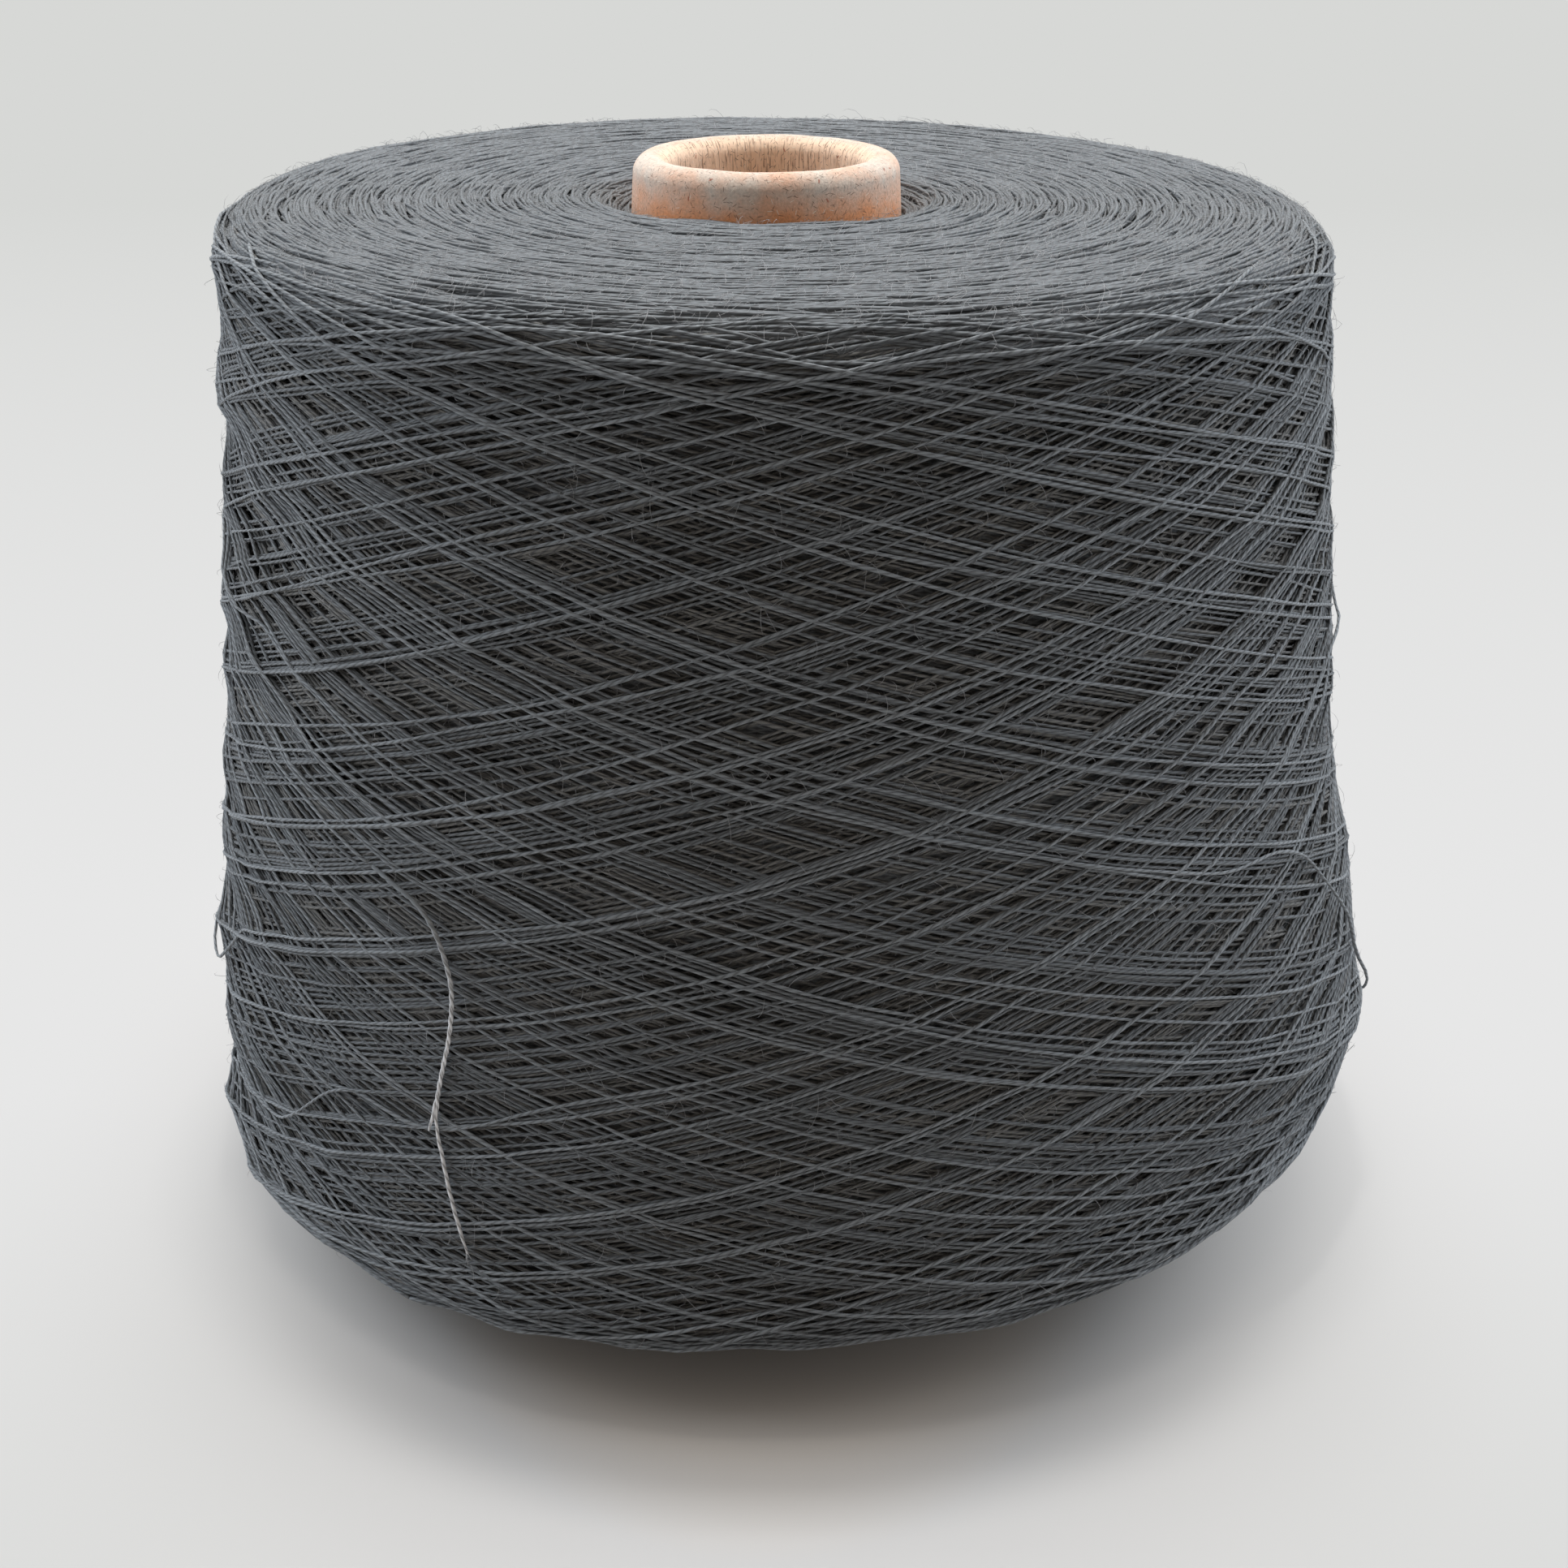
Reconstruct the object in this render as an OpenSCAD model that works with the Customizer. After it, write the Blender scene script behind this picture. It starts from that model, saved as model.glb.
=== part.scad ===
// Cone of cross-wound yarn on a paper cone, standing on the cone's wide base.
// Millimetres, +Z up. The origin is the centre of the base rim, on the floor.

/* [Paper cone] */
// Length of the paper cone from its base rim to the top of the rolled nose
cone_length = 170; // [150:1:190]
// Outer diameter of the nose, at the middle of its rolled lip
nose_d = 41.8; // [38:0.2:48]
// Half angle of the cone: 3.5 is 3 deg 30 min, 4.33 is 4 deg 20 min, 5.95 is 5 deg 57 min
cone_half_angle = 4.33; // [3.5, 4.33, 5.95]
// Thickness of the paper wall
cone_wall = 3; // [2:0.1:3.6]
// Thickness of the rolled nose lip, wall and turned-in hem together
lip_width = 5.3; // [4.6:0.1:6]
// Length of the straight throat inside the turned-in hem
throat_length = 12; // [8:1:20]
// Radius on the two cut edges of the base rim
base_edge_r = 0.6; // [0.2:0.1:0.9]

/* [Yarn package] */
// Length of nose that stands out above the yarn
nose_show = 6.5; // [4:0.5:12]
// Length of base that stands out below the yarn
base_show = 11.5; // [6:0.5:20]
// Thickness of the wound yarn, measured level, from the paper to the outermost strand
build = 66.3; // [40:0.1:80]
// Radius of the shoulder between the side and the top face
top_shoulder_r = 8; // [5:0.5:14]
// Radius of the shoulder between the side and the bottom face
bottom_shoulder_r = 6; // [4:0.5:14]
// Depth of the dip in each end face beside the paper cone
collar_dip = 2.6; // [0:0.1:4]
// Width of that dip
collar_dip_w = 7; // [4:0.5:12]

/* [Outer winding] */
// Diameter of the yarn
yarn_d = 0.55; // [0.4:0.05:0.8]
// Loops of yarn in the outer winding. It shares no factor with the passes, so no loop lies on another
loops = 24; // [18, 20, 21, 24]
// Times the winding goes up and comes down again
passes = 13; // [11, 13]
// Gap between a strand that climbs and a strand that comes down over it
crossing_gap = 0.6; // [0.5:0.05:1]
// How sharply the strand turns back at each end, from 0.9, round, to 0.99, sharp
turn_sharpness = 0.97; // [0.9:0.01:0.99]
// Distance that the turns keep from the two shoulders
turn_margin = 1.5; // [1:0.5:6]

/* [Loose end] */
// Height at which the outermost strand leaves the package
end_height = 79.5; // [70:0.5:140]
// Direction of that place from the axis, counted from +X towards +Y
end_angle = 231.5; // [0:0.5:360]

/* [Hidden] */

paper_colour = [0.80, 0.69, 0.60];
yarn_colour = [0.40, 0.41, 0.43];
$fn = 144;

// Gap between the paper and the yarn, and between the wound core and its outer strands
fit_gap = 0.1;

// Paper cone
cone_slope = tan(cone_half_angle);
nose_r = nose_d / 2;
lip_r = lip_width / 2;
lip_z = cone_length - lip_r;
throat_r = nose_r - lip_width;
throat_z = lip_z - throat_length;
hem_taper = 0.8; // height of the slanted end of the turned-in hem, and twice its inward reach
edge_steps = 6;
shoulder_steps = 12;
lip_steps = 24;
dip_steps = 12;

// Yarn package
yarn_bottom = base_show;
yarn_top = cone_length - nose_show;

// Outer winding
rings_per_loop = 24;
ring_angle = 360 / rings_per_loop;
winding_sides = 6;
half_step_cos = cos(ring_angle / 2);
layer_step = yarn_d + crossing_gap; // from the strands that climb out to those that come down
turn_low = yarn_bottom + bottom_shoulder_r + turn_margin;
turn_high = yarn_top - top_shoulder_r - turn_margin;
turn_middle = (turn_low + turn_high) / 2;
turn_travel = (turn_high - turn_low) / 2;
start_rings_left_out = 2; // the strand comes up from under this far past its own end
winding_rings = loops * rings_per_loop - start_rings_left_out;

// Loose end: each point is [degrees past its start, drop below its start, height over the surface].
// It leaves the last strand that comes down, turns over and hangs along the side.
tail_route = [
    [0, 0, -0.3],
    [1.3, 0.4, 0.1],
    [2.5, 0.9, 0.5],
    [3.9, 1.6, 0.9],
    [5.2, 2.8, 1.1],
    [6.5, 4.8, 1.2],
    [7.7, 7.5, 1.2],
    [8.5, 10.5, 1.1],
    [9.1, 14, 1.0],
    [9.3, 18, 0.9],
    [9.0, 23, 0.8],
    [8.5, 28, 0.7],
    [7.9, 33, 0.6],
    [7.8, 37.5, 0.6],
    [8.4, 42.5, 0.5],
    [9.1, 47.5, 0.5],
    [10.0, 52.5, 0.5],
    [11.0, 57, 0.6]
];
tail_sides = 8;
tail_steps = 3; // rings for each stretch between two route points

// Outer radius of the paper cone at height z
function cone_r(z) = nose_r + (lip_z - z) * cone_slope;

// Outer radius of the whole yarn package at height z, on its straight side
function package_r(z) = cone_r(z) + build;

// How far a chord between two rings of a loop dips under its arc at height z
function chord_dip(z) = package_r(z) * (1 - half_step_cos);

// Depth that the outer winding takes from the package
winding_depth = chord_dip(turn_low) + fit_gap + yarn_d + layer_step;

// Radius of the wound core under the outer winding
function core_r(z) = package_r(z) - winding_depth;

// Radius of a strand's centre at height z: the strands that come down lie outermost
function strand_r(z, comes_down) =
    package_r(z) - yarn_d / 2 - (comes_down ? 0 : layer_step);

// Points of an arc round [cx, cz] from angle a to angle b
function arc(cx, cz, r, a, b, steps) =
    [for (i = [0:steps]) let (t = a + (b - a) * i / steps) [cx + r * cos(t), cz + r * sin(t)]];

// ---- Paper cone ----

// Section of the paper cone: outer wall, rolled lip, turned-in hem, inner wall, base rim
function cone_section() =
    concat(
        arc(cone_r(0) - base_edge_r, base_edge_r, base_edge_r, -90, 0, edge_steps),
        arc(cone_r(lip_z) - lip_r, lip_z, lip_r, 0, 180, lip_steps),
        [
            [throat_r, throat_z],
            [throat_r + hem_taper / 2, throat_z - hem_taper],
            [cone_r(throat_z - hem_taper) - cone_wall, throat_z - hem_taper]
        ],
        arc(cone_r(0) - cone_wall + base_edge_r, base_edge_r, base_edge_r, 180, 270, edge_steps)
    );

module paper_cone() {
    color(paper_colour)
        rotate_extrude()
            polygon(cone_section());
}

// ---- Wound yarn ----

// Points of the dip beside the cone in an end face, from the cone outwards.
// sign is 1 on the top face and -1 on the bottom face.
function dip_curve(z, sign) =
    [for (i = [0:dip_steps])
        let (t = i / dip_steps)
        [
            cone_r(z) + fit_gap + collar_dip_w * t,
            z - sign * collar_dip * pow(cos(90 * t), 2)
        ]
    ];

// Section of the wound core: inner wall on the cone, bottom face, side, top face
function core_section() =
    let (
        low_z = yarn_bottom + bottom_shoulder_r,
        high_z = yarn_top - top_shoulder_r,
        top = dip_curve(yarn_top, 1)
    )
    concat(
        dip_curve(yarn_bottom, -1),
        arc(core_r(low_z) - bottom_shoulder_r, low_z, bottom_shoulder_r, -90, 0, shoulder_steps),
        arc(core_r(high_z) - top_shoulder_r, high_z, top_shoulder_r, 0, 90, shoulder_steps),
        [for (i = [dip_steps:-1:0]) top[i]]
    );

module yarn_package() {
    color(yarn_colour)
        rotate_extrude()
            polygon(core_section());
}

// ---- Swept yarn ----

function unit(v) = v / norm(v);

// Point at an angle and a height, at radius r from the axis
function at(angle, r, z) = [r * cos(angle), r * sin(angle), z];

// Direction of a path at point i
function heading(path, i) =
    unit(path[min(i + 1, len(path) - 1)] - path[max(i - 1, 0)]);

// Tube of one diameter along a path. ref(i) is a direction that the path never takes at point i.
function tube_points(path, refs, d, sides) =
    [for (i = [0:len(path) - 1])
        let (
            t = heading(path, i),
            u = unit(cross(t, refs[i])),
            v = cross(u, t)
        )
        for (k = [0:sides - 1])
            path[i] + d / 2 * (u * cos(k * 360 / sides) + v * sin(k * 360 / sides))
    ];

// Triangles of the tube's wall and of its two flat ends
function tube_faces(rings, sides) =
    concat(
        [for (i = [0:rings - 2], k = [0:sides - 1])
            let (a = i * sides + k, b = i * sides + (k + 1) % sides)
            each [[a, a + sides, b + sides], [a, b + sides, b]]
        ],
        [for (k = [1:sides - 2]) [0, k, k + 1]],
        [for (k = [1:sides - 2])
            let (last = (rings - 1) * sides)
            [last, last + k + 1, last + k]
        ]
    );

module tube(path, refs, d, sides) {
    polyhedron(
        points = tube_points(path, refs, d, sides),
        faces = tube_faces(len(path), sides),
        convexity = 8
    );
}

// ---- Outer winding: one strand that goes up and comes down round the package ----

// Share of a full up-and-down pass at which a strand coming down is at height z
function falling_phase(z) =
    let (w = asin(turn_sharpness) * (z - turn_middle) / turn_travel)
    (180 - asin(sin(w) / turn_sharpness)) / 360;

// Height of the strand at a phase: a triangle wave with rounded turns
function strand_z(phase) =
    turn_middle + turn_travel * asin(turn_sharpness * sin(360 * phase)) / asin(turn_sharpness);

// The strand comes down between the quarter and the three quarters of a pass
function comes_down(phase) =
    let (f = phase - floor(phase))
    f >= 0.25 && f < 0.75;

// The last ring lies where the loose end starts
function ring_phase(i) =
    falling_phase(end_height) + (i - winding_rings) * passes / (loops * rings_per_loop);
function ring_at(i) = end_angle + (i - winding_rings) * ring_angle;
function winding_point(i, down_by = 0) =
    let (phase = ring_phase(i), z = strand_z(phase))
    at(ring_at(i), strand_r(z, comes_down(phase)) - down_by, z);

// The strand's inner end stands on the core, square to it, one diameter long,
// then bends over into the first ring
start_bend_step = 30; // degrees
start_rise = strand_r(strand_z(ring_phase(0)), comes_down(ring_phase(0)))
    - core_r(strand_z(ring_phase(0))) - fit_gap;
start_bend = min(yarn_d, start_rise - yarn_d);
start_path = [
    winding_point(0, start_rise),
    winding_point(0, start_rise - yarn_d),
    for (a = [start_bend_step:start_bend_step:90])
        winding_point(0, start_rise - yarn_d - start_bend * sin(a))
            + unit(winding_point(1) - winding_point(0)) * start_bend * (1 - cos(a))
];
winding_path = concat(start_path, [for (i = [1:winding_rings]) winding_point(i)]);

module outer_winding() {
    color(yarn_colour)
        tube(winding_path, [for (p = winding_path) [0, 0, 1]], yarn_d, winding_sides);
}

// Least gap from the strand to itself, on the points and the quarter points of each chord.
// All loops have their rings at the same angles, so only equal angles are compared.
function chord_point(i, q) = winding_point(i) * (1 - q) + winding_point(i + 1) * q;
last_chord = winding_rings - 1;
winding_gap = min([
    for (
        q = [0:0.25:0.75],
        i = [1:last_chord],
        j = [i + rings_per_loop:rings_per_loop:last_chord]
    )
        norm(chord_point(i, q) - chord_point(j, q))
]) - yarn_d;
echo(least_gap_of_the_winding_to_itself_mm = winding_gap);  // outer_winding

// ---- Loose end ----

function route_point(p) =
    let (z = end_height - p[1])
    at(end_angle + p[0], package_r(z) + p[2], z);

// Smooth curve through four neighbouring points, from b to c as t goes from 0 to 1
function through(a, b, c, d, t) =
    b + 0.5 * t * ((c - a) + t * ((2 * a - 5 * b + 4 * c - d) + t * (3 * (b - c) + d - a)));

// It starts on the winding's last face and runs on straight for one diameter
tail_start = winding_point(winding_rings);
tail_nodes = [
    tail_start + unit(tail_start - winding_point(winding_rings - 1)) * yarn_d,
    for (i = [1:len(tail_route) - 1]) route_point(tail_route[i])
];
tail_last = len(tail_nodes) - 1;
tail_path = [
    tail_start,
    for (i = [0:tail_last - 1], s = [0:tail_steps - 1])
        through(
            tail_nodes[max(i - 1, 0)],
            tail_nodes[i],
            tail_nodes[i + 1],
            tail_nodes[min(i + 2, tail_last)],
            s / tail_steps
        ),
    tail_nodes[tail_last]
];

module yarn_tail() {
    color(yarn_colour)
        tube(tail_path, [for (p = tail_path) unit([p[0], p[1], 0])], yarn_d, tail_sides);
}

paper_cone();
yarn_package();
outer_winding();
yarn_tail();
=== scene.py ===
"""A large cone of grey two-ply yarn, cross-wound on a paper cone with a rolled nose.

The yarn is laid strand on strand over a height map of the package, so each strand lies on what was
wound before it, bridges the gaps and crosses over the rest. All sizes are in metres.
"""

import functools
import math

import bmesh
import bpy
import numpy as np
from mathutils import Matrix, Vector, noise


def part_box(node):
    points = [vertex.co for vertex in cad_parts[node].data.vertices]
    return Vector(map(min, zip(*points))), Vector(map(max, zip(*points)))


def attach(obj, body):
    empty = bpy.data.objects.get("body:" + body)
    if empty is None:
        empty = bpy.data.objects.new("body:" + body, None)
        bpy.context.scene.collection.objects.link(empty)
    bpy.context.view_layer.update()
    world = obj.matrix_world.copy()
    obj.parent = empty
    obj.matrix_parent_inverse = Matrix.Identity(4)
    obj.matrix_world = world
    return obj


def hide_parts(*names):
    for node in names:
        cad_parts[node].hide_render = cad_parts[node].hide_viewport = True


bl_info = {
    "name": "Yarn Cone",
    "version": (1, 0, 0),
    "blender": (4, 5, 0),
    "location": "3D View > Sidebar > Yarn Cone",
    "description": "Builds a cross-wound cone of two-ply yarn on its paper cone",
    "category": "Add Mesh",
}

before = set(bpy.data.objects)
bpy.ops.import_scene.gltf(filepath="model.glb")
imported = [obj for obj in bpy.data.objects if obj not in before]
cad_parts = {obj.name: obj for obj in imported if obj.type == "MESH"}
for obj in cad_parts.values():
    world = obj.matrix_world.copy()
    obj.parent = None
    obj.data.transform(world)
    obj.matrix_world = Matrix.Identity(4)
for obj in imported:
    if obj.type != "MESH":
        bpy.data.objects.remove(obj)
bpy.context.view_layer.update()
BODY = "root"
MM = 0.001
CONE_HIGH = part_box("paper_cone")[1]
YARN_LOW, YARN_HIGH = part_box("yarn_package")

# Height map of the package: cells round it, and the size of a cell along its outline
COLUMNS = 2048
CELL = 0.3 * MM

# Radius of the package's side at mid height, which turns angles into lengths round it
MEAN_RADIUS = 93 * MM

# Steps in a shoulder's arc
ARC_STEPS = 32

# A strand on the package: length of a sample, radius of its bend, the share of its diameter by
# which it sinks into what it crosses, and the share that is left of it under later strands
SAMPLE = 0.3 * MM
BEND_RADIUS = 28 * MM
SINK = 0.32
PACKED = 0.63

# How sharply a pass turns back at each end, from 0, a sine, to 1, a zigzag
TURN_SHARPNESS = 0.93

# Length over which the last strand sinks to where the loose end starts
TAIL_SETTLE = 24 * MM

# The loose end: degrees past its start, drop below its start in mm, height over the package in mm
TAIL_ROUTE = (
    (0, 0, -0.3),
    (1.3, 0.4, 0.1),
    (2.6, 0.9, 0.5),
    (4.3, 1.6, 0.9),
    (6.0, 2.8, 1.1),
    (7.4, 4.8, 1.2),
    (8.4, 7.5, 1.2),
    (9.1, 10.5, 1.1),
    (9.6, 14, 1.0),
    (9.6, 18, 0.9),
    (9.2, 23, 0.8),
    (8.5, 28, 0.7),
    (7.9, 33, 0.6),
    (7.8, 37.5, 0.6),
    (8.4, 42.5, 0.5),
    (9.1, 47.5, 0.5),
    (10.0, 52.5, 0.5),
    (11.0, 57, 0.6),
)

# Where the loose end's shorter ply stops, in mm from its start, and the tufts of fibres at its
# frayed tip: length, spread sideways and outwards in mm, and thickness as a share of a ply
TAIL_SPLIT = 48
WISPS = ((2.6, 0.5, 0.3, 0.35), (2.2, -0.6, 0.2, 0.3), (3.0, 0.1, 0.5, 0.25))

# The camera: its place, its tilt from straight down in degrees, and its focal length in widths of
# its sensor
CAMERA_PLACE = (2.8 * MM, -414 * MM, 236.5 * MM)
CAMERA_TILT = 67.1
FOCAL_LENGTH = 3172 / 1932

# Share by which the hollow round the paper is filled in at the front
FRONT_FILL = 0.85

# How far the package is wound off the cone's centre, and how much its ends lean, per metre across
OFF_CENTRE = 1.2 * MM
TOP_LEAN = -0.009
BOTTOM_LEAN = 0.036

# Radius at which the swellings set in, and the width over which they do
SWELLING_START = 70 * MM
SWELLING_FADE = 20 * MM

# Swellings of the package, in degrees and mm: direction and height of the middle, spread round and
# along, and outward amount
SWELLINGS = (
    (-12, 42, 38, 25, 3.3),
    (-12, 33, 30, 8, 1.2),
    (198, 20, 40, 18, -1.7),
    (198, 20, 34, 8, -1.2),
    (306, 12, 28, 8, 1.6),
    (230, 12, 28, 8, 1.6),
    (336, 12, 24, 8, -2.0),
    (191, 88, 32, 48, -1.3),
    (192, 126, 30, 9, -1.0),
    (188, 154, 40, 12, -1.1),
    (-10, 156, 36, 10, -0.5),
    (270, 141, 72, 14, -1.3),
    (60, 100, 40, 40, 0.5),
    (120, 40, 45, 30, 0.6),
)

# Places where the outermost strand hangs slack: direction, height, how far out, how far up along the
# side, half the length of the slack, all in degrees and mm, and the share by which the swing lags
SLACK_LOOPS = (
    (-13, 58, 1.8, -30, 46, 0.32),
    (203, 114, 1.6, -2.0, 16, 0.2),
    (199, 47, 1.5, -7, 16, 0),
    (-10, 104, 1.4, -3.0, 20, 0.3),
    (214, 33, 0.5, -3.4, 22, 0),
    (228, 44, 0.5, 3.2, 20, 0),
    (239, 50, 0.4, -2.6, 22, 0),
    (326, 71, 0.6, 3.4, 20, 0),
    (318, 100, 0.8, 1.8, 18, 0),
    (60, 70, 1.6, -2.5, 18, 0.2),
    (118, 125, 1.4, -2.0, 18, 0),
    (150, 60, 0.8, 3.0, 20, 0),
)

# Covers of strands, from the deepest: piece, passes, loops in a pass, drift from pass to pass, stray
# and skew in degrees, slow sideways wander and distance between rings along the strand in mm, sides,
# and shade. The shade is a factor on the yarn's lightness: below 1 it is painted shade on the deep
# covers, and above 1 it is painted light on the outer ones.
COVERS = (
    ("winding_deep_1", 115, 21 / 11, 0.155, 0.4, 1, 0.3, 12, 4, 0.84),
    ("winding_deep_2", 110, 23 / 12, 0.14, 0.4, 1, 0.3, 11, 4, 0.84),
    ("winding_middle_1", 84, 19 / 10, 0.175, 0.45, 1.5, 0.4, 7, 4, 0.86),
    ("winding_middle_2", 72, 25 / 13, 0.14, 0.45, 2, 0.5, 6, 4, 0.88),
    ("winding_upper_1", 72, 21 / 11, 0.165, 0.6, 2.5, 0.6, 4.8, 4, 0.93),
    ("winding_upper_2", 66, 23 / 12, 0.16, 0.7, 3, 0.7, 4.3, 4, 0.96),
    ("winding_outer_1", 11, 1.93, 2.4, 1.4, 7, 0.9, 2.8, 6, 1.28),
    ("winding_outer_2", 10, 1.91, 1.1, 1.4, 8, 0.9, 2.8, 6, 1.34),
    ("winding_outer_3", 9, 1.93, 2.2, 1.6, 8, 0.9, 2.8, 6, 1.4),
)


def in_mm(name, description, default):
    """A property for a length, with its default in mm."""
    return bpy.props.FloatProperty(name=name, description=description, default=default * MM,
                                   unit="LENGTH", precision=5)


def in_degrees(name, description, default):
    """A property for an angle, with its default in degrees."""
    return bpy.props.FloatProperty(name=name, description=description, default=math.radians(default),
                                   subtype="ANGLE")


def hex_colour(name, description, default):
    """A property for a colour as an sRGB hex value."""
    return bpy.props.StringProperty(name=name, description=description, default=default)


class YarnConeSizes(bpy.types.PropertyGroup):
    """Sizes that a user would change."""

    nose_diameter: in_mm("Nose diameter", "Outer diameter at the middle of the rolled lip", 41.8)
    half_angle: in_degrees("Half angle", "Half angle of the paper cone", 4.33)
    wall: in_mm("Wall", "Thickness of the paper", 3)
    lip_width: in_mm("Lip width", "Wall and turned-in hem together", 5.3)
    throat_length: in_mm("Throat length", "Length of the straight hem inside the nose", 12)
    build: in_mm("Build", "Thickness of the wound yarn over the paper", 66.3)
    top_shoulder: in_mm("Top shoulder", "Radius between the side and the top face", 8)
    bottom_shoulder: in_mm("Bottom shoulder", "Radius between the side and the bottom face", 6)
    collar_dip: in_mm("Collar dip", "Depth of the hollow round the paper in each end face", 2.6)
    collar_dip_width: in_mm("Collar dip width", "Width of that hollow", 7)
    yarn_diameter: in_mm("Yarn diameter", "Diameter of the two plies together", 0.55)
    ply_pitch: in_mm("Ply pitch", "Length in which one ply goes once round the other", 3.8)
    core: bpy.props.FloatProperty(
        name="Core", description="Share of the yarn's diameter that its dense core takes up",
        default=0.94, subtype="FACTOR")
    strand_depth: in_mm("Strand depth", "Depth under the outline at which the strands start", 2.2)
    tail_angle: in_degrees("Tail direction", "Direction in which the loose end comes out", 231.5)
    tail_height: in_mm("Tail height", "Height at which the loose end comes out", 79.5)
    seed: bpy.props.IntProperty(name="Seed", description="Start of every random draw", default=7)


class YarnConeFinish(bpy.types.PropertyGroup):
    """Colours that a user would change."""

    yarn: hex_colour("Yarn", "Spun yarn on its lit side", "#767B7F")
    # painted shade: a warmer grey for the inner covers, standing in for the warm shade deep in the
    # winding
    yarn_inner_shaded: hex_colour("Yarn, inner", "Spun yarn of the inner covers", "#7A7A78")
    # painted shade: the darker colours in the grooves between the plies, on the side and on the end
    # faces
    yarn_groove_shade: hex_colour("Yarn groove", "Groove between the two plies", "#535558")
    yarn_end_groove_shade: hex_colour("Yarn groove, ends", "Groove where the yarn is felted", "#65676A")
    fibre: hex_colour("Fibre", "Single fibres that stand out of the yarn", "#97989A")
    tail: hex_colour("Loose end", "The yarn's worn outer end", "#ECEDF0")
    paper: hex_colour("Paper", "Recycled kraft board", "#D4C6B9")
    # random mottling of the board, together with the painted shade and warm bounced light under the roll
    # and at the front
    paper_mottle_and_shade: hex_colour("Paper, dark patches", "Denser patches of the board", "#E49E71")
    # painted light: the paler colour inside the nose stands in for light bounced round in it
    paper_inside_light: hex_colour("Paper, inside", "Clean board inside the nose", "#FBDEC3")
    # painted shade in the creases of the turned-in hem
    paper_crease_shade: hex_colour("Paper, creases", "Creases of the turned-in hem", "#6E4230")
    floor: hex_colour("Floor", "Floor round the cone", "#C5C4C3")
    # painted light: a lighter, warmer floor close round the cone, standing in for warm light bounced
    # into its shadow
    floor_near_warm_light: hex_colour("Floor, near", "Floor close to the cone, warmed by the paper", "#CFC8C0")
    floor_bounce: hex_colour("Floor, bounced", "Floor as it throws light back at the cone", "#B3B2B1")
    backdrop_near: hex_colour("Backdrop, near", "Sweep just past the cone", "#E7E7E7")
    backdrop_far: hex_colour("Backdrop, far", "Sweep at the back", "#D7D8D6")


def choices(context):
    """The user's sizes and finish."""
    return context.scene.yarn_cone_sizes, context.scene.yarn_cone_finish


# ---- Shapes shared by the pieces ----


def cone_radius(p, z):
    """Outer radius of the paper cone at height z."""
    lip_z = CONE_HIGH.z - p.lip_width / 2
    return p.nose_diameter / 2 + (lip_z - z) * math.tan(p.half_angle)


def package_radius(p, z):
    """Radius of the yarn package on its straight side at height z."""
    return cone_radius(p, z) + p.build


def running(steps):
    """The running total of steps, from 0."""
    return np.concatenate(([0], np.cumsum(steps)))


def turn_from(origin, angle):
    """The turn from one angle to others, the short way round."""
    return np.angle(np.exp(1j * (angle - origin)))


def eased(share):
    """A share from 0 to 1, with a soft start and end."""
    return share * share * (3 - 2 * share)


def arc(centre, radius, start, end, steps):
    """Points of an arc in the (radius, height) plane, between two angles in degrees."""
    angles = np.radians(np.linspace(start, end, steps + 1))
    return [(centre[0] + radius * math.cos(a), centre[1] + radius * math.sin(a)) for a in angles]


def dip(p, z, sign, steps=24):
    """Hollow beside the paper in an end face, from the paper outwards."""
    shares = np.linspace(0, 1, steps + 1)
    radii = cone_radius(p, z) + 0.2 * MM + p.collar_dip_width * shares
    depths = p.collar_dip * np.cos(np.pi / 2 * shares) ** 2
    return list(zip(radii, z - sign * depths))


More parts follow.
